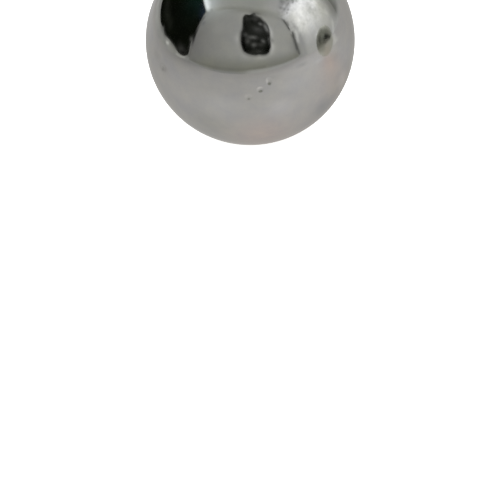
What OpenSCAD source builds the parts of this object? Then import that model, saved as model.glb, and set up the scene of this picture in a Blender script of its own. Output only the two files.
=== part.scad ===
// Solid steel ball, ground and lapped to a true sphere.
// The origin is at the centre of the ball and +Z is up.
// The ball is the same on every side, so it has no front and no foot.

/* [Ball] */
// Diameter of the ball
ball_d = 25; // [3:0.5:60]

/* [Hidden] */
// Facets round the ball where it is shown as a mesh
$fn = 180;

module ball() {
    color("silver") sphere(d = ball_d);
}

ball();
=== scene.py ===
"""A bearing ball, ground and lapped to a mirror finish, standing in a white lined light box."""

from math import cos, radians, sin

import bpy
import numpy as np
from mathutils import Matrix, Quaternion, Vector


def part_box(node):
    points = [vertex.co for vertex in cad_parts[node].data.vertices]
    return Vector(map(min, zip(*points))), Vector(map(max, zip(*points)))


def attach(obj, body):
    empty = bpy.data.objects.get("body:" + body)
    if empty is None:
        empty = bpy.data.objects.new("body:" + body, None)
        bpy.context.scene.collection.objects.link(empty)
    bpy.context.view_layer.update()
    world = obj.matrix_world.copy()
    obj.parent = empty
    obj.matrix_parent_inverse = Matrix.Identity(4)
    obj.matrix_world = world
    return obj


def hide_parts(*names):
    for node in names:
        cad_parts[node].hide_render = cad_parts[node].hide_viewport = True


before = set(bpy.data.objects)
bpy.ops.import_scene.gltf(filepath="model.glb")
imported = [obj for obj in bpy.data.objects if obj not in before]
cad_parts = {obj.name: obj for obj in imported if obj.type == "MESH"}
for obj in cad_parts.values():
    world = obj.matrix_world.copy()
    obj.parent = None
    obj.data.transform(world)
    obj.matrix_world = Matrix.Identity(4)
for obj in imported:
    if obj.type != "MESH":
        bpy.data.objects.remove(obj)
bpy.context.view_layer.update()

# ------------------------------------------------------------------------------------------
# The ball. One solid piece of bearing steel, cold headed from wire, hardened, ground between
# iron plates and lapped to a mirror. Handling has left three small nicks, and a fourth under a
# dull stain.
# ------------------------------------------------------------------------------------------

MM = 0.001  # in metres
low_corner, high_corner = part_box("ball")
BALL_RADIUS = (high_corner.z - low_corner.z) / 2

# Azimuth from the front and height above the equator in degrees; half width, half length and
# depth in mm; which way it is long, in degrees from level; how bright its upper lip is: rubbed
# metal, painted brighter as a highlight
NICKS = np.array([
    (3.5, -1.4, 0.48, 0.50, 0.108, 8, 0.65),
    (8.4, 2.8, 0.42, 0.60, 0.095, 98, 0.35),
    (-3.1, -5.5, 0.52, 0.56, 0.116, 20, 0.0),
    (-56.7, 2.6, 0.52, 0.60, 0.095, 20, 0.0),
])
# Azimuth and height of the stain, its reaches each way in degrees, and how dull its middle is
STAIN = (-55.9, 2.8, 2.5, 1.7, 0.75)
ROUND_COLUMNS = 336  # points round the ball
POLE_TO_POLE_ROWS = 190  # points from the lower pole to the upper one
CROWDING = 7  # times as many points at a nick as away from it
CROWDED_DEGREES = 2.6  # reach of the crowded points on each side of a nick's middle


def crowded(start, end, count, busy):
    """Angles in degrees from start to end that lie closer together near each busy angle. How
    crowded they are is 1, and rises to CROWDING there by a bell curve. It is summed up over
    fine even steps, and the sum is read off evenly."""
    fine_steps = 7200
    even = np.linspace(start, end, fine_steps + 1)
    near_busy = np.exp(-((even[:, None] - busy) / CROWDED_DEGREES) ** 2).max(axis=1)
    crowd = 1 + (CROWDING - 1) * near_busy
    summed = np.concatenate([[0], np.cumsum((crowd[1:] + crowd[:-1]) / 2)])
    return np.interp(np.linspace(0, summed[-1], count), summed, even)


def facing(azimuth, height):
    """Unit vector for an azimuth from the front (-Y) towards +X and a height, in degrees:
    (cos height sin azimuth, -cos height cos azimuth, sin height)."""
    a, h = np.radians(azimuth), np.radians(height)
    return np.stack([np.cos(h) * np.sin(a), -np.cos(h) * np.cos(a), np.sin(h) + 0 * a], -1)


def nicked(direction):
    """Ball radius along each direction, and how bright the rubbed metal is painted as a highlight:
    the true radius, less for each nick its depth times (1 - s^2)^2, where s is the distance from
    the nick's middle over its half length and half width; its upper lip is rubbed and painted
    brighter by 1 - s^2, growing to that side."""
    radius = np.full(direction.shape[:-1], BALL_RADIUS)
    rubbed_highlight = np.zeros(direction.shape[:-1])
    for azimuth, height, half_width, half_length, depth, way, rubbed_highlight_share in NICKS:
        middle = facing(azimuth, height)
        right = facing(azimuth + 90, 0)
        up = np.cross(middle, right)
        lengthways = (cos(radians(way)) * right + sin(radians(way)) * up) / half_length
        lipwards = (cos(radians(way)) * up - sin(radians(way)) * right) / half_width
        offset = (direction - middle) * BALL_RADIUS / MM
        parts = offset @ np.stack([lengthways, lipwards, middle / half_width], -1)
        s = np.minimum(np.linalg.norm(parts, axis=-1), 1)
        radius -= depth * MM * (1 - s**2) ** 2
        rubbed_highlight += rubbed_highlight_share * (1 - s**2) * np.clip(2 * parts[..., 1], 0, 1)
    return radius, rubbed_highlight


def stained(azimuth, height):
    """How dull the steel is: a bell curve of the angles from the stain's middle, over its reaches."""
    middle_azimuth, middle_height, reach_round, reach_up, share = STAIN
    off = ((azimuth - middle_azimuth) / reach_round) ** 2 + ((height - middle_height) / reach_up) ** 2
    return share * np.exp(-off)


def keep(mesh, name, values):
    """Keeps one number at each point of a mesh, under a name that its material reads."""
    mesh.attributes.new(name, "FLOAT", "POINT").data.foreach_set("value", values.astype(np.float32))


def ball_mesh(name):
    """Rows of points from pole to pole, each row a circle round Z, every point at its radius
    along its direction; quads join the rows, and a fan of triangles closes each pole."""
    columns = crowded(-180, 180, ROUND_COLUMNS + 1, NICKS[:, 0])[:-1]
    rows = crowded(-90, 90, POLE_TO_POLE_ROWS, NICKS[:, 1])[1:-1]
    direction = facing(columns[None, :], rows[:, None])
    radius, rubbed_highlight = nicked(direction)
    dull = stained(columns[None, :], rows[:, None])
    points = (direction * radius[..., None]).reshape(-1, 3)
    poles = np.array([(0, 0, -BALL_RADIUS), (0, 0, BALL_RADIUS)])
    count = np.arange(len(rows) * ROUND_COLUMNS).reshape(len(rows), ROUND_COLUMNS)
    after = np.roll(count, -1, axis=1)
    quads = np.stack([count[:-1], after[:-1], after[1:], count[1:]], -1).reshape(-1, 4)
    south, north = count.size, count.size + 1
    foot = np.stack([np.full(ROUND_COLUMNS, south), after[0], count[0]], -1)
    crown = np.stack([np.full(ROUND_COLUMNS, north), count[-1], after[-1]], -1)
    mesh = bpy.data.meshes.new(name)
    mesh.from_pydata(np.vstack([points, poles]), [], [*quads.tolist(), *foot.tolist(), *crown.tolist()])
    mesh.polygons.foreach_set("use_smooth", np.ones(len(mesh.polygons), bool))
    keep(mesh, "rubbed_highlight", np.append(rubbed_highlight.ravel(), [0, 0]))
    keep(mesh, "dull", np.append(dull.ravel(), [0, 0]))
    mesh.update()
    return mesh


def linear(*colours):
    """sRGB hex colours as linear light, one row of red, green and blue for each."""
    srgb = np.array([[int(c[i : i + 2], 16) for i in (1, 3, 5)] for c in colours]) / 255
    return np.where(srgb <= 0.04045, srgb / 12.92, ((srgb + 0.055) / 1.055) ** 2.4).squeeze()


def rgba(colour):
    """One sRGB hex colour as the four linear numbers that a colour socket takes."""
    return (*linear(colour), 1)


def add(tree, kind, settings=None, **links):
    """Adds a node to a tree, with its settings, and puts a value or a link into each input. An
    input is given by its name or, as _6, by its number: 6 and 7 are the two colours of a mix,
    which comes out at output 2."""
    node = tree.nodes.new(kind)
    for name, value in (settings or {}).items():
        setattr(node, name, value)
    for name, value in links.items():
        socket = node.inputs[int(name[1:]) if name[1:].isdigit() else name.replace("_", " ")]
        if isinstance(value, bpy.types.NodeSocket):
            tree.links.new(value, socket)
        else:
            socket.default_value = value
    return node


def empty_material(name):
    """A material with no nodes in its tree."""
    material = bpy.data.materials.new(name)
    material.use_nodes = True
    material.node_tree.nodes.clear()
    return material


# Polished bearing steel: a neutral grey mirror whose picture is a little soft, with a faint
# haze in patches, brighter rubbed metal on the upper lips of the nicks, painted there as a
# highlight, a darker stain, and fine lapping marks that only blur the picture. Real marks are
# under 0.01 mm apart, and these are drawn at 0.12 mm to show.
STEEL_COLOUR = "#C4C4C4"  # midway between the cool and the warm patches
STEEL_COOL = "#BFC0C2"
STEEL_WARM = "#C8C8C5"
STEEL_RUBBED_HIGHLIGHT = "#E4E3E1"
STEEL_DULL = "#A8A8A6"
STEEL_EDGE = "#E6E6E6"  # at a glance along the surface
HAZE_PER_METRE = 1 / (2.5 * MM)
LAPPING_PER_METRE = 1 / (0.12 * MM)


def polished_bearing_steel():
    material = empty_material("polished bearing steel")
    tree = material.node_tree
    place = add(tree, "ShaderNodeTexCoord").outputs["Object"]
    haze = add(tree, "ShaderNodeTexNoise", Vector=place, Scale=HAZE_PER_METRE, Detail=3.0, Roughness=0.6)
    patches = add(tree, "ShaderNodeMapRange", Value=haze.outputs["Fac"], From_Min=0.3, From_Max=0.7)
    tint = add(tree, "ShaderNodeMix", {"data_type": "RGBA"}, Factor=patches.outputs["Result"],
               _6=rgba(STEEL_COOL), _7=rgba(STEEL_WARM))
    # Rubbed metal on the nicks' upper lips, painted brighter as a highlight
    rubbed_highlight = add(tree, "ShaderNodeAttribute", {"attribute_name": "rubbed_highlight"}).outputs["Fac"]
    rubbed_highlit_lips = add(tree, "ShaderNodeMix", {"data_type": "RGBA"}, Factor=rubbed_highlight, _6=tint.outputs[2],
               _7=rgba(STEEL_RUBBED_HIGHLIGHT))
    dull = add(tree, "ShaderNodeAttribute", {"attribute_name": "dull"}).outputs["Fac"]
    colour = add(tree, "ShaderNodeMix", {"data_type": "RGBA"}, Factor=dull, _6=rubbed_highlit_lips.outputs[2],
                 _7=rgba(STEEL_DULL))
    gloss = add(tree, "ShaderNodeMapRange", Value=haze.outputs["Fac"], To_Min=0.04, To_Max=0.075)
    lapping = add(tree, "ShaderNodeTexNoise", Vector=place, Scale=LAPPING_PER_METRE, Detail=1.0)
    relief = add(tree, "ShaderNodeBump", Height=lapping.outputs["Fac"], Strength=0.03, Distance=0.00002)
    steel = add(tree, "ShaderNodeBsdfPrincipled", Base_Color=colour.outputs[2], Metallic=1.0,
                Roughness=gloss.outputs["Result"], Normal=relief.outputs["Normal"],
                Specular_Tint=rgba(STEEL_EDGE))
    add(tree, "ShaderNodeOutputMaterial", Surface=steel.outputs["BSDF"])
    return material


ball = bpy.data.objects.new("steel_ball", ball_mesh("steel_ball"))
bpy.context.scene.collection.objects.link(ball)
ball.data.materials.append(polished_bearing_steel())
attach(ball, "root")
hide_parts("ball")

# ------------------------------------------------------------------------------------------
# The light box that the ball mirrors. White cotton on a frame, 300 by 240 by 160 mm, turned a
# little to the camera: open on its left, with a slot for the lens in front, lit from its
# right. Only mirror rays see it.
# ------------------------------------------------------------------------------------------

# Lengths are in mm from the ball's centre: across (a) is to the right, near (n) is towards the
# lens and high (h) is up. Tones are those that the steel gives back.
BOX_TURN = radians(13)
ACROSS = np.array([cos(BOX_TURN), -sin(BOX_TURN), 0])
NEAR = np.array([-sin(BOX_TURN), -cos(BOX_TURN), 0])
HIGH = np.array([0, 0, 1])
WIDTH = LEFT, RIGHT = -125, 175
DEPTH = BACK, FRONT = -150, 90
HEIGHT = FLOOR, ROOF = -12.5, 147
LINING_STEP = 1.5  # between the points of a wall


def ease(value, start, end):
    """0 up to start, 1 from end on, and 3t^2 - 2t^3 between them, where t is the share of the
    way. A length taken with its sign turned eases the other way."""
    t = np.clip((value - start) / (end - start), 0, 1)
    return t * t * (3 - 2 * t)


def spot(a, b, middle_a, middle_b, reach_a, reach_b):
    """A soft round patch: a bell curve of the distance from its middle, over its reaches."""
    return np.exp(-(((a - middle_a) / reach_a) ** 2) - ((b - middle_b) / reach_b) ** 2)


def beside(a, b, line, width):
    """1 on a line of points, then a bell curve of the distance from it over a width: the least
    of the distances to its stretches, each taken at the nearest place between its ends."""
    least = np.full(np.broadcast(a, b).shape, np.inf)
    for (a0, b0), (a1, b1) in zip(line[:-1], line[1:]):
        long_a, long_b = a1 - a0, b1 - b0
        t = np.clip(((a - a0) * long_a + (b - b0) * long_b) / (long_a**2 + long_b**2), 0, 1)
        least = np.minimum(least, np.hypot(a - a0 - t * long_a, b - b0 - t * long_b))
    return np.exp(-((least / width) ** 2))


def plain(colour, a):
    """One tone at every point of a grid."""
    return linear(colour) + 0 * a[..., None]


def toned(tone, other, share):
    """Tone moved to another tone by a share from 0 to 1 at each point."""
    return tone + (linear(other) - tone) * share[..., None]


def patched(tone, a, b, patches):
    """Tone moved by one soft patch after another. Each row is a patch: its middle and its reaches
    along the two lengths, as spot takes them, its tone, and its share."""
    for *place, other, share in patches:
        tone = toned(tone, other, share * spot(a, b, *place))
    return tone


def creased(tone, a, b, creases):
    """Tone moved by one soft line after another. Each row is a line: its points along the two
    lengths and its width, as beside takes them, its tone, and its share."""
    for line, width, other, share in creases:
        tone = toned(tone, other, share * beside(a, b, line, width))
    return tone


def grid(first, second):
    """Two arrays of lengths over a wall: each goes evenly from a start to an end, and the two
    are crossed."""
    ways = [np.linspace(start, end, round((end - start) / LINING_STEP) + 1)
            for start, end in (first, second)]
    return np.meshgrid(*ways, indexing="ij")


def outline(corners, points=160):
    """A closed smooth line through its corners: a Catmull-Rom curve, in which each stretch
    weighs its two ends and their two neighbours by cubics of the distance along it."""
    corners = np.array(corners, float)
    along = np.linspace(0, len(corners), points, endpoint=False)
    start = along.astype(int)
    t = (along - start)[:, None]
    p, q, r, s = (corners[(start + shift) % len(corners)] for shift in (-1, 0, 1, 2))
    edge = 0.5 * (2 * q + (r - p) * t + (2 * p - 5 * q + 4 * r - s) * t**2 + (3 * q - p - 3 * r + s) * t**3)
    return np.vstack([edge, edge[:1]])


def rings(edge, middle, shares):
    """Points from a middle out to an outline, at each share of the way."""
    points = np.array(middle) + (edge - np.array(middle))[None] * np.array(shares)[:, None, None]
    return points[..., 0], points[..., 1]


def mirror_only(thing):
    """Leaves a piece of the box to mirror rays, and out of the object."""
    for sight in ("camera", "diffuse", "transmission", "volume_scatter", "shadow"):
        setattr(thing, "visible_" + sight, False)
    bpy.context.scene.collection.objects.link(thing)


def lining(name, across, near, high, tone, crease):
    """A sheet of the box: a grid of points from three arrays of lengths, joined by quads, with
    its tone and how creased it is kept at each point. It only glows, so it may face either way."""
    across, near, high, crease = np.broadcast_arrays(across, near, high, crease)
    points = (across[..., None] * ACROSS + near[..., None] * NEAR + high[..., None] * HIGH) * MM
    count = np.arange(across.size).reshape(across.shape)
    quads = np.stack([count[:-1, :-1], count[1:, :-1], count[1:, 1:], count[:-1, 1:]], -1)
    mesh = bpy.data.meshes.new(name)
    mesh.from_pydata(points.reshape(-1, 3), [], quads.reshape(-1, 4).tolist())
    kept = np.concatenate([tone, crease[..., None]], -1).astype(np.float32)
    mesh.color_attributes.new("tone", "FLOAT_COLOR", "POINT").data.foreach_set("color", kept.ravel())
    mesh.materials.append(lit_cloth)
    mirror_only(bpy.data.objects.new(name, mesh))


# The share of light that the steel gives back
STEEL_SHARE = float(linear(STEEL_COLOUR).mean())


def cotton_lit_from_behind():
    """White cotton with soft light coming through: even where it is taut, and mottled where it
    is creased. It glows with its kept tone over the share of light that the steel gives back,
    times one plus or minus its kept crease, by a noise of 30 mm folds."""
    material = empty_material("white cotton lit from behind")
    tree = material.node_tree
    place = add(tree, "ShaderNodeTexCoord").outputs["Object"]
    kept = add(tree, "ShaderNodeAttribute", {"attribute_name": "tone"}).outputs
    folds = add(tree, "ShaderNodeTexNoise", Vector=place, Scale=1 / (30 * MM), Detail=5.0,
                Roughness=0.8)
    swing = add(tree, "ShaderNodeMapRange", Value=folds.outputs["Fac"], From_Min=0.25, From_Max=0.75,
                To_Min=-1 / STEEL_SHARE, To_Max=1 / STEEL_SHARE)
    level = add(tree, "ShaderNodeMath", {"operation": "MULTIPLY_ADD"}, _0=swing.outputs["Result"],
                _1=kept["Alpha"], _2=1 / STEEL_SHARE)
    glow = add(tree, "ShaderNodeEmission", Color=kept["Color"], Strength=level.outputs["Value"])
    add(tree, "ShaderNodeOutputMaterial", Surface=glow.outputs["Emission"])
    return material


lit_cloth = cotton_lit_from_behind()

# The slot for the lens in the front wall, across and up, and the dark room behind it, where the
# lens and its mount catch a little light
LENS_SLOT = outline([(9, 115), (13, 121), (24, 121), (32, 129), (39, 134), (43, 122), (53, 118),
                     (60.2, 110), (65.5, 101), (68, 90), (68.7, 76), (66.7, 62), (63.5, 47), (61.5, 34),
                     (57.3, 25.3), (53.5, 19.8), (46, 16.5), (34, 17), (27, 16.5), (19, 18), (12, 21),
                     (7.5, 25), (5, 32), (2.5, 45), (2.5, 60), (5.5, 73), (6, 90), (6, 105)])
SLOT_DARK = "#030402"
SLOT_LIP = "#8A8A86"
GLINT_TONE = "#6C6C69"
# Rows of a middle, its reaches and a share
GLINTS = [(60, 83, 5, 8, 0.85), (62.5, 73, 5, 8, 0.85), (25, 51, 8, 3.5, 0.55), (46, 44, 4, 4, 0.55),
          (27, 36, 4.5, 4, 0.45), (16, 43, 4, 5, 0.3), (12, 56, 4, 4, 0.25), (38, 70, 11, 8, 0.2),
          (34, 24, 5, 3, 0.08), (41, 122, 9, 8, 0.45), (17, 101, 7, 7, 0.08), (48, 89, 4.5, 5, 0.55),
          (36, 106, 9, 8, 0.16), (60, 46, 3, 8, 0.3), (40, 36, 6, 3, 0.12)]
# Painted shadows in the slot, in rows of a middle, its reaches and a share
SLOT_SHADOW_SPOTS = [(29, 92, 5, 5, 0.6), (11, 78, 5, 14, 0.4), (36, 43, 6, 2, 0.4), (18, 28, 5, 4, 0.7),
           (31, 31, 5, 3, 0.45), (44, 97, 3.5, 3.5, 0.5)]
SLOT_SHADOWS = [([(60, 30), (52, 25)], 8, SLOT_DARK, 1), ([(11, 25), (7, 38), (7, 52)], 5, SLOT_DARK, 1)]
SLOT_MIDDLE = (34, 65)
outwards = np.linspace(0, 1, 60)
a, h = rings(LENS_SLOT, SLOT_MIDDLE, outwards)
tone = creased(plain("#1B1C19", a), a, h, SLOT_SHADOWS)
for *place, glint in GLINTS:
    tone = toned(tone, GLINT_TONE, glint * spot(a, h, *place))
# Painted shadows in the dark of the slot
for *place, shade_share in SLOT_SHADOW_SPOTS:
    tone = toned(tone, SLOT_DARK, shade_share * spot(a, h, *place))
# Its lip, which is thin all round and broader at the upper right and at the left
tone = toned(tone, SLOT_LIP, 0.5 * ease(outwards[:, None], 0.95, 1))
tone = toned(tone, SLOT_LIP, 0.7 * ease(outwards[:, None], 0.78, 1) * spot(a, h, 60, 106, 15, 16))
tone = toned(tone, SLOT_LIP, 0.5 * ease(outwards[:, None], 0.85, 1) * spot(a, h, 3, 66, 6, 16))
lining("lens_slot", a, FRONT - 1, h, tone, crease=0.6)

# The front wall, dimmer to its open end, under the roof and at its foot, where the floor sheet
# turns up a little. The slot has a hem with a painted highlight, brightest at the right, and
# the wall has painted shade in its creases at both ends.
CREASE_SHADE = "#3A3B38"
CORNER_DARK = "#10120F"
HEM_HIGHLIGHT = "#C4C4C0"
HEM_DARK = "#50504D"
# How bright the painted highlight on the hem is, all round and in rows of a middle, its
# reaches and a share
HEM_HIGHLIGHT_LEAST = 0.06
HEM_HIGHLIGHT_PATCHES = [(70, 30, 14, 14, 0.65), (73, 70, 12, 18, 0.7), (38, 16, 9, 5, 0.4), (-4, 48, 7, 10, 0.3),
               (9, 16, 6, 6, 0.15)]
# Painted shades and sheens of the wall
FRONT_PATCHES = [(69, 47, 4, 5, HEM_DARK, 0.35), (43, 135, 18, 12, "#4A4B48", 0.6),
                 (155, 25, 30, 30, "#5C5C58", 0.3), (-104, 92, 7, 8, "#5E5F62", 0.6),
                 (-65, 146, 10, 5, "#6A6B64", 0.4), (56.5, 119, 3, 4, HEM_DARK, 0.35),
                 (-126, 14, 4, 17, "#3A3A36", 0.65), (6, 142, 18, 8, "#74756B", 0.4)]
a, h = grid(WIDTH, HEIGHT)
tone = toned(plain("#646361", a), "#8E8E89", ease(a, -150, 55))
tone = toned(tone, "#7B7B76", (0.85 - 0.4 * ease(a, 60, 95)) * ease(h, 112, 142) * ease(a, -80, -40))
# Its foot: a shade, painted shade along the fold where the floor sheet turns up, and the
# sheet's edge in front of it
tone = toned(tone, "#6E6E65", ease(-h, -24, 6) * (0.3 + 0.6 * ease(a, LEFT, -60)))
tone = creased(tone, a, h, [([(-110, -5), (5, -5), (42, -4)], 2.5, "#5C5C56", 0.42)])
tone = toned(tone, "#7A7A76", ease(-h, 7.5, 10.5))
tone = toned(tone, "#8F8F8B", ease(-h, 4, 10) * ease(a, 0, 25))
# Light from the slit in the roof, and a sheen where the cloth bellies
tone = patched(tone, a, h, [(-90, ROOF, 60, 52, "#A9AFAE", 0.45), (-44, 72, 20, 20, "#90908C", 0.35)])
# The slot's hem, with a painted highlight along it
hem_highlight = sum((pale * spot(a, h, *place) for *place, pale in HEM_HIGHLIGHT_PATCHES), HEM_HIGHLIGHT_LEAST)
hem_highlight = hem_highlight * (1 - 0.6 * spot(a, h, 71, 46, 12, 6))
tone = toned(tone, HEM_HIGHLIGHT, hem_highlight * (beside(a, h, LENS_SLOT, 8.5) - beside(a, h, LENS_SLOT, 3.5)))
tone = creased(tone, a, h, [(LENS_SLOT, 2, HEM_DARK, 0.5)])
# The wall's painted shades and sheens
tone = patched(tone, a, h, FRONT_PATCHES)
# Painted shade in the corner with the open side, and in the creases at the right wall
corner_shade = ease(h, 18, 52) * ease(-h, -135, -105) * (1 - 0.7 * spot(a, h, -120, 95, 30, 24))
tone = toned(tone, CORNER_DARK, ease(-a, 110, 119) * corner_shade)
tone = patched(tone, a, h, [(-115, 40, 4, 14, CORNER_DARK, 0.25)])
tone = creased(tone, a, h, [([(161, 130), (164, 114), (167, 99)], 11, CREASE_SHADE, 0.8)])
lower_crease_shade = beside(a, h, [(174, 97), (174, 70), (174, 24)], 15)
tone = toned(tone, CREASE_SHADE, 0.85 * lower_crease_shade * ease(-h, -80, -68))
lining("box_front", a, FRONT, h, tone, crease=0.05)

# The open left side, near and up, with the dark room beyond and a flap of cloth at its near foot
OPEN_SIDE = outline([(-150, 27), (-110, 19), (-84, 13), (-66, 9), (-50, 7), (-36, 4.8), (-27, 5.2),
                     (-17, 6.8), (-9, 3.4), (-3, 2.6), (11, 3.9), (24, 3.3), (33, 1.6), (39, -1),
                     (48, -4), (59, -6), (70, -5), (80, 0), (86, 8), (87, 28), (89, 43), (89.5, 54),
                     (89.5, 72), (89.5, 90), (88.5, 108), (86.5, 122), (83, 142), (65, 144), (50, 144),
                     (0, 145), (-70, 145), (-150, 145), (-150, 80)], points=240)
# A faint edge far off in the room, the flap's lit fold and its shadow, and the soft edge of the
# strip of wall below
SIDE_LINES = [([(-60, 30), (-30, 27), (0, 24)], 10, "#1E201B", 0.5),
              ([(86, 12), (89, 50)], 5, "#3E3F3C", 0.4),
              ([(59, 0), (69, 2.5)], 3, "#040503", 0.8),
              ([(-17, 7.5), (-10, 4.5), (3, 2.6), (12, 3.8), (24, 3.2), (33, 1.5), (41, -1)], 2.4,
               "#4C4C49", 0.65)]
SIDE_MIDDLE = (-10, 75)
n, h = rings(OPEN_SIDE, SIDE_MIDDLE, np.linspace(0, 1, 30))
tone = patched(plain("#070905", n), n, h, [(60, 2, 15, 11, "#2B2B29", 1)])
tone = toned(tone, "#1D2733", 0.8 * ease(n, 20, 90) * ease(h, 90, 140))
tone = patched(tone, n, h, [(20, 120, 40, 40, "#0C1D19", 0.7)])
tone = creased(tone, n, h, SIDE_LINES)
tone = patched(tone, n, h, [(84, 40, 6, 5.5, "#60605C", 0.5)])
lining("open_side", LEFT + 1, n, h, tone, crease=0.5)

# The left wall, of which only a strip at the foot is closed, with a painted highlight on the
# hem along the opening and painted light and shade at its foot
LEFT_HEM_HIGHLIGHTS = [([(7, -4), (13, -2.5)], 2.5, "#C9C9C4", 0.5),
             ([(44, -9), (58, -10), (72, -7.5)], 2, "#C0C0BB", 0.3)]
LEFT_SHADES = [([(-23, 8), (-12, 7.5), (-4, 5)], 6, "#3E3F3C", 0.7),
               ([(24, 3), (33, 1), (38, -0.5)], 4, "#4C4C49", 0.5)]
LEFT_PATCHES = [(85, 0, 6, 4, "#4A4A46", 0.55), (2, -8, 8, 3, "#6A6B67", 0.4),
                (-101, -8, 12, 5, "#A8A8A4", 0.4)]
n, h = grid(DEPTH, HEIGHT)
tone = toned(plain("#939390", n), "#858581", ease(n, -70, -20))
tone = toned(tone, "#7A7A76", ease(n, 0, 60))
tone = toned(tone, "#6A6B67", 0.5 * ease(h, -3, 4))
tone = creased(tone, n, h, LEFT_HEM_HIGHLIGHTS)
tone = patched(tone, n, h, LEFT_PATCHES)
tone = creased(tone, n, h, LEFT_SHADES)
lining("box_left", LEFT, n, h, tone, crease=0.05)

# The right wall, where the light comes in: bright and creased up high, grey at both ends, with
# painted light and shade in patches and along its creases
RIGHT_PATCHES = [(6, 68, 30, 18, "#E4E4E0", 0.6), (-30, 94, 22, 24, "#A2A39D", 0.65),
                 (-85, 58, 34, 36, "#9A9B94", 0.6), (-72, 94, 18, 12, "#EFEFEC", 0.5),
                 (-26, 59, 9, 10, "#A2A39D", 0.45), (-77, 70, 8, 7, "#A2A39D", 0.4),
                 (-46, 108, 7, 8, "#A2A39D", 0.35), (-49, 87, 7, 6, "#F6F6F4", 0.5),
                 (-5, 78, 7, 6, "#F6F6F4", 0.4), (-4, 20, 9, 7, "#E4E4E0", 0.4),
                 (-87, 39, 8, 9, "#D2D2CA", 0.4), (48, 125, 34, 18, "#A8A8A4", 0.35),
                 (48, 40, 16, 14, "#8E8E8A", 0.3)]
RIGHT_CREASES = [([(69, 77), (74, 56), (77, 45)], 8, "#C9C9C5", 0.5),
                 ([(64, 50), (62, 20), (61, -6)], 9, "#8A8A88", 0.8),
                 ([(-92, 6), (-76, -11)], 7, "#B6B6B0", 0.6),
                 ([(70, 112), (66, 95), (65, 78)], 8, "#929290", 0.6),
                 ([(89.5, 78), (89.5, 50), (88.5, 23), (86.5, 3)], 6, CREASE_SHADE, 0.8),
                 ([(87, 79), (88, 68)], 5, CREASE_SHADE, 0.7),
                 ([(90, 128), (90, 118)], 8, CREASE_SHADE, 0.65)]
n, h = grid(DEPTH, HEIGHT)
tone = toned(plain("#9A9A96", n), "#C6C6C2", ease(h, 0, 75))
tone = toned(tone, "#EDEDEB", 0.9 * ease(h, 55, 125) * ease(-n, -75, -10))
tone = toned(tone, "#84847F", 0.9 * ease(n, 35, 85) * (1 - 0.6 * ease(h, 60, 115)))
tone = patched(tone, n, h, RIGHT_PATCHES)
tone = toned(tone, "#8B8B86", 0.9 * ease(-n, 55, 145) * ease(h, 0, 30))
tone = toned(tone, "#71716D", 0.8 * ease(-n, 90, 150) * ease(h, -12, 10))
tone = patched(tone, n, h, [(-118, 24, 20, 12, "#6C6C68", 0.3)])
tone = creased(tone, n, h, RIGHT_CREASES)
lining("box_right", RIGHT, n, h, tone, crease=0.07 + 0.29 * ease(h, 20, 85))

# The back wall, shaded behind the ball
a, h = grid(WIDTH, HEIGHT)
tone = toned(plain("#939390", a), "#646560", ease(h, -10, 12) * ease(a, 80, 175))
lining("box_back", a, BACK, h, tone, crease=0.05)

# The roof, with a slit of daylight at its near left corner and lit cloth at its right, with
# painted shade in its folds, whose places are rows of a middle and its reaches
SHADED_FOLDS = [(117, 25, 8, 9), (109, 25, 7, 7), (139, 21, 5, 9), (122, 50, 6, 5), (139.5, 48, 4, 6),
         (126, 7, 8, 7), (156, 42, 4, 5), (165, -15, 7, 6), (147, -6, 7, 8), (154, 0, 5, 6),
         (161, 56, 5, 5)]
FOLD_SHADE = "#6C6D6A"
DAYLIGHT = "#DDE3E3"
ROOF_PATCHES = [(-101, 55, 4, 6, DAYLIGHT, 0.4), (-101, 84, 6, 5, "#5A5C5A", 0.4),
                (170, 10, 14, 18, "#F0F0EE", 0.55), (131, 37, 6, 6, "#E8E8E6", 0.4),
                (168, 65, 6, 6, "#8E8E8A", 0.3)]
a, n = grid(WIDTH, DEPTH)
tone = toned(plain("#888984", a), "#7A7B75", ease(n, 72, 90) * (1 - 0.7 * ease(a, 60, 95)))
tone = toned(tone, "#949493", 0.9 * ease(a, 40, 105) * ease(-n, -88, -60))
tone = patched(tone, a, n, [(LEFT, 60, 48, 36, "#C4CBCC", 0.75)])
tone = toned(tone, DAYLIGHT, ease(-a, 96, 114) * ease(-n, -89, -69))
tone = toned(tone, "#D6D6D4", ease(a, 124, 176) * (1 - 0.55 * ease(n, 45, 90)))
tone = patched(tone, a, n, ROOF_PATCHES)
tone = toned(tone, "#5E6464", 0.55 * ease(-a, 117, 125))  # between the slit and the open side
for place in SHADED_FOLDS:
    tone = toned(tone, FOLD_SHADE, 0.65 * spot(a, n, *place))
lining("box_roof", a, n, ROOF, tone, crease=0.05 + 0.27 * ease(a, 95, 125))

# The floor sheet, palest to the ball's right, dimmer towards the open side and the front wall,
# with painted shade round the ball's foot and a little warm painted light beside and in front
# of the ball
SHEET_PATCHES = [(-8, 40, 28, 30, "#8A8986", 0.4), (43, -2, 24, 8, "#A69A94", 0.9),
                 (3, 9, 5, 5, "#A69C96", 0.9), (13, -8, 12, 8, "#8C8883", 0.6),
                 (12.5, 0.5, 3, 3.5, "#898989", 0.85), (74, 38, 11, 8, "#8E8E8C", 0.5),
                 (28, 47, 10, 7, "#888885", 0.4), (26, 20, 8, 7, "#B0AFAD", 0.35),
                 (18, -8, 4, 3, "#B2ACA7", 0.6), (-6.5, 10.5, 5, 3.5, "#87867F", 0.4),
                 (-6, 21, 7, 6, "#A9A8A6", 0.4), (44, -9, 10, 6, "#8A8680", 0.3),
                 (11, 15, 4, 4, "#B6B3B0", 0.5), (66, 33, 8, 6, "#8E8E8C", 0.45),
                 (-48, -6, 8, 5, "#7E7D7B", 0.4), (60, 9, 7, 5, "#BAB9B6", 0.35),
                 (-39, 4, 7, 5, "#7E7D7B", 0.35)]
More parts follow.
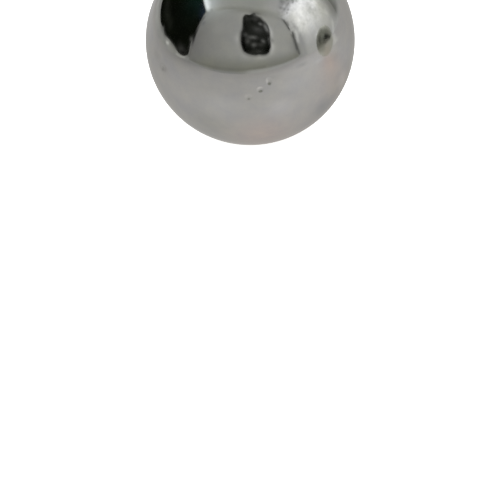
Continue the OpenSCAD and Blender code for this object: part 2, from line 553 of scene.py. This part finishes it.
a, n = grid(WIDTH, DEPTH)
tone = plain("#969491", a)
tone = patched(tone, a, n, [(64, 18, 78, 40, "#A7A5A2", 1), (-52, -48, 36, 30, "#A8A7A6", 0.85)])
tone = toned(tone, "#706F6D", 0.9 * ease(-a, 0, 125) * ease(n, -110, 90))
tone = toned(tone, "#84827F", 0.5 * ease(n, 40, 85) * ease(a, -60, 0))
tone = patched(tone, a, n, SHEET_PATCHES)
# A painted streak of light on the sheet behind the next ball
tone = creased(tone, a, n, [([(150, -62), (100, -38), (76, -28)], 6.5, "#B6B6B0", 0.55)])
lining("box_floor", a, n, FLOOR, tone, crease=0.04)

# The next ball on the sheet: a second one like this, 61 mm to the right, seen only in the steel.
# It is hazier, with a smear of painted shade on the side that faces the first. Its back, foot
# and far rim glow with painted light, for the light that the sheet and the bright wall throw at it.
NEXT_BALL = 61 * ACROSS - 3.4 * NEAR
HAZY_STEEL = "#C0C1B6"
SMEAR_SHADE_TONE = "#1C1C16"
THROWN_LIGHT = "#757570"


def hazy_steel_with_painted_shade():
    material = empty_material("hazy bearing steel with a painted shade")
    tree = material.node_tree
    place = add(tree, "ShaderNodeTexCoord").outputs["Object"]
    haze = add(tree, "ShaderNodeTexNoise", Vector=place, Scale=HAZE_PER_METRE, Detail=3.0, Roughness=0.6)
    gloss = add(tree, "ShaderNodeMapRange", Value=haze.outputs["Fac"], To_Min=0.35, To_Max=0.45)
    smear_shade = add(tree, "ShaderNodeAttribute", {"attribute_name": "smear_shade"}).outputs["Fac"]
    lit = add(tree, "ShaderNodeAttribute", {"attribute_name": "lit"}).outputs["Fac"]
    # Painted shade mixed into the steel's colour
    colour = add(tree, "ShaderNodeMix", {"data_type": "RGBA"}, Factor=smear_shade, _6=rgba(HAZY_STEEL),
                 _7=rgba(SMEAR_SHADE_TONE))
    steel = add(tree, "ShaderNodeBsdfPrincipled", Base_Color=colour.outputs[2], Metallic=1.0,
                Roughness=gloss.outputs["Result"], Emission_Color=rgba(THROWN_LIGHT),
                Emission_Strength=lit)
    add(tree, "ShaderNodeOutputMaterial", Surface=steel.outputs["BSDF"])
    return material


next_mesh = ball_mesh("next_ball")
points = np.empty(3 * len(next_mesh.vertices))
next_mesh.vertices.foreach_get("co", points)
outward = points.reshape(-1, 3) / BALL_RADIUS
a, n, h = outward @ ACROSS, outward @ NEAR, outward @ HIGH
# The painted shade rises from its back to its middle. The painted light is on its lower half,
# less in front between the foot and the middle, and on its upper back, except close to the
# first ball
smear_shade = 0.7 * beside(n, h, [(-0.32, 0.04), (0.02, 0.27)], 0.13)
lit = ease(-0.1 * n - h, 0.02, 0.16) * (1 - 0.8 * ease(n, 0.1, 0.45) * ease(h, -0.6, -0.25))
lit = lit + ease(a, -0.86, -0.68) * ease(-n, -0.2, 0.1) * ease(h, -0.3, -0.05)
keep(next_mesh, "smear_shade", smear_shade)
keep(next_mesh, "lit", lit)
next_mesh.transform(Matrix.Translation(Vector(NEXT_BALL * MM)))
next_mesh.materials.append(hazy_steel_with_painted_shade())
mirror_only(bpy.data.objects.new("next_ball", next_mesh))

# ------------------------------------------------------------------------------------------
# The studio round the ball: a pale matt floor under it, one wide soft lamp above, and white
# air all round. The lamp and the floor are kept out of the mirror, which has the box.
# ------------------------------------------------------------------------------------------

# Sizes and heights are in metres
CARD_SIZE = 4.0
CARD_COLOUR = "#F7F7F5"
CARD_PALER = "#FAFAF9"
CARD_GLOW = 0.85
LAMP_HEIGHT = 0.9
LAMP_SIZE = 1.2
LAMP_WATTS = 6
AIR_STRENGTH = 1.0


def pale_matt_card():
    """Smooth card: it is even to the eye, with a shade too faint to make out."""
    material = empty_material("pale matt card")
    tree = material.node_tree
    place = add(tree, "ShaderNodeTexCoord").outputs["Object"]
    grain = add(tree, "ShaderNodeTexNoise", Vector=place, Scale=40.0, Detail=2.0)
    colour = add(tree, "ShaderNodeMix", {"data_type": "RGBA"}, Factor=grain.outputs["Fac"],
                 _6=rgba(CARD_COLOUR), _7=rgba(CARD_PALER))
    card = add(tree, "ShaderNodeBsdfDiffuse", Color=colour.outputs[2])
    through = add(tree, "ShaderNodeEmission", Color=colour.outputs[2], Strength=CARD_GLOW)
    both = add(tree, "ShaderNodeAddShader", _0=card.outputs["BSDF"], _1=through.outputs["Emission"])
    add(tree, "ShaderNodeOutputMaterial", Surface=both.outputs["Shader"])
    return material


floor_mesh = bpy.data.meshes.new("studio_floor")
side = CARD_SIZE / 2
floor_mesh.from_pydata([(-side, -side, -BALL_RADIUS), (side, -side, -BALL_RADIUS),
                        (side, side, -BALL_RADIUS), (-side, side, -BALL_RADIUS)], [], [(0, 1, 2, 3)])
floor_mesh.materials.append(pale_matt_card())
studio_floor = bpy.data.objects.new("studio_floor", floor_mesh)
bpy.context.scene.collection.objects.link(studio_floor)
studio_floor.visible_glossy = False

lamp_data = bpy.data.lights.new("soft_lamp", "AREA")
lamp_data.size = LAMP_SIZE
lamp_data.energy = LAMP_WATTS
lamp = bpy.data.objects.new("soft_lamp", lamp_data)
lamp.location = (0, 0, LAMP_HEIGHT)
lamp.visible_glossy = False
bpy.context.scene.collection.objects.link(lamp)

world = bpy.data.worlds.new("white_air")
world.use_nodes = True
world.node_tree.nodes["Background"].inputs["Color"].default_value = (1, 1, 1, 1)
world.node_tree.nodes["Background"].inputs["Strength"].default_value = AIR_STRENGTH
bpy.context.scene.world = world
bpy.context.scene.view_settings.view_transform = "Standard"

# ------------------------------------------------------------------------------------------
# The camera: a 200 mm lens from 26 degrees up, leaning 4 degrees, with the ball's centre near
# the top of the frame, so that its crown is cut off by the edge.
# ------------------------------------------------------------------------------------------

FRAME_PIXELS = 500
LENS_MM = 200
SENSOR_MM = 36
CAMERA_HEIGHT = radians(26)
CAMERA_LEAN = radians(-4)
CAMERA_DISTANCE = 0.33245  # metres, from the ball's centre
BALL_AT_PIXEL = (250.25, 40.4)

# It looks straight at the ball's centre, leans, and then turns until the centre is at its pixel
camera_data = bpy.data.cameras.new("camera")
camera_data.lens = LENS_MM
camera_data.sensor_width = SENSOR_MM
camera_data.clip_start = 10 * MM
camera = bpy.data.objects.new("camera", camera_data)
bpy.context.scene.collection.objects.link(camera)
towards_lens = Vector((0, -cos(CAMERA_HEIGHT), sin(CAMERA_HEIGHT)))
pixels_per_slope = FRAME_PIXELS * LENS_MM / SENSOR_MM
offset = Vector(((BALL_AT_PIXEL[0] - FRAME_PIXELS / 2) / pixels_per_slope,
                 (FRAME_PIXELS / 2 - BALL_AT_PIXEL[1]) / pixels_per_slope, -1))
level = towards_lens.to_track_quat("Z", "Y")
lean = Quaternion((0, 0, 1), CAMERA_LEAN)
aim = offset.rotation_difference(Vector((0, 0, -1)))
camera.location = towards_lens * CAMERA_DISTANCE
camera.rotation_mode = "QUATERNION"
camera.rotation_quaternion = level @ lean @ aim
bpy.context.scene.camera = camera
